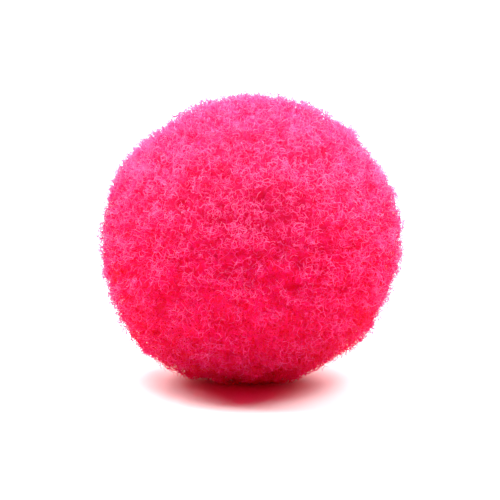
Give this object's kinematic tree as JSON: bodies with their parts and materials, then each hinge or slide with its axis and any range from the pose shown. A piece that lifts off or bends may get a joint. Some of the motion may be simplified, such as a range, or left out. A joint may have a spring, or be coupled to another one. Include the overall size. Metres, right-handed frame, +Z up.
{
  "type": "yarn pom pom",
  "caption": "Dense, nearly round ball of short cut locks of hot pink crimped yarn, bound at its middle, resting on a small level spot.",
  "frame": {"origin": "middle of the level spot underneath, on the surface that the ball rests on, straight below the ball's middle", "axes": "+Z up from the resting spot through the ball's middle; -Y towards the viewer of the picture; +X to the viewer's right"},
  "size_m": [0.0251, 0.0248, 0.0241],
  "materials": {
    "hot_pink_yarn": "matt, densely crimped cut pile"
  },
  "bodies": {
    "root": {"pompom": "hot_pink_yarn"}
  },
  "joints": []
}
